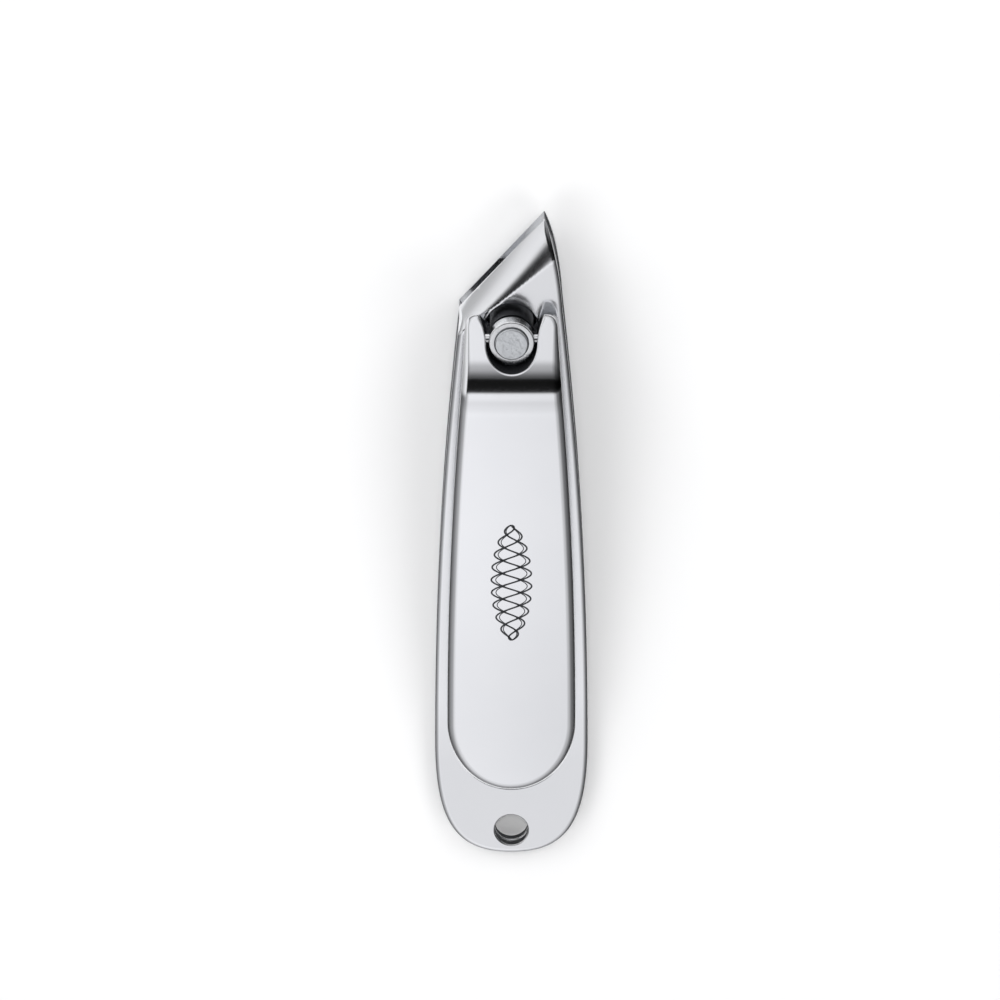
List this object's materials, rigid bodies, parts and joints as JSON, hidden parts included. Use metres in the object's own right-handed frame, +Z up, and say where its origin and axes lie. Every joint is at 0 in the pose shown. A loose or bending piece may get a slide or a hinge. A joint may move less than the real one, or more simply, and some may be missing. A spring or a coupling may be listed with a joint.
{
  "type": "compound lever nail clipper",
  "caption": "Steel nail clipper with a slanted cutting edge, a folding tray-shaped lever on a turning post, sprung arms and a tail hole for a ring.",
  "frame": {"origin": "on the surface that it lies on, under the middle of its outline", "axes": "+Y along the arms towards the jaws, +X to the right with the lever on top, +Z up through the lever"},
  "size_m": [0.0228, 0.105, 0.0186],
  "materials": {
    "polished_steel": "mirror polished stainless steel",
    "ground_steel": "finely turned and ground",
    "peened_steel": "turned shank, with a rough peened end"
  },
  "bodies": {
    "lower_arm": {"lower_arm": "polished_steel", "tail_rivet_left": "ground_steel", "tail_rivet_right": "ground_steel"},
    "upper_arm": {"upper_arm": "polished_steel"},
    "post": {"post": "peened_steel", "post_collar": "ground_steel"},
    "cross_pin": {"cross_pin": "ground_steel"},
    "lever": {"lever": "polished_steel"}
  },
  "joints": [
    {"name": "post_turn", "type": "hinge", "parent": "lower_arm", "child": "post", "pos_m": [0, 0.0358, 0], "axis": [0, 0, 1], "range_deg": [-180, 180]},
    {"name": "lever_flip", "type": "hinge", "parent": "post", "child": "cross_pin", "pos_m": [0, 0.0358, 0.01315], "axis": [-1, 0, 0], "range_deg": [0, 168]},
    {"name": "lever_press", "type": "hinge", "parent": "cross_pin", "child": "lever", "pos_m": [0, 0.0358, 0.01315], "axis": [-1, 0, 0], "range_deg": [0, 14], "stiffness_Nm_per_rad": 0.02, "springref_deg": -28.65},
    {"name": "jaw_close", "type": "hinge", "parent": "lower_arm", "child": "upper_arm", "pos_m": [0, -0.0357, 0.00175], "axis": [-1, 0, 0], "range_deg": [0, 1.7], "stiffness_Nm_per_rad": 0.02, "springref_deg": -28.65}
  ],
  "couplings": [
    {"joint": "jaw_close", "follows": "lever_press", "ratio": 0.1214}
  ]
}
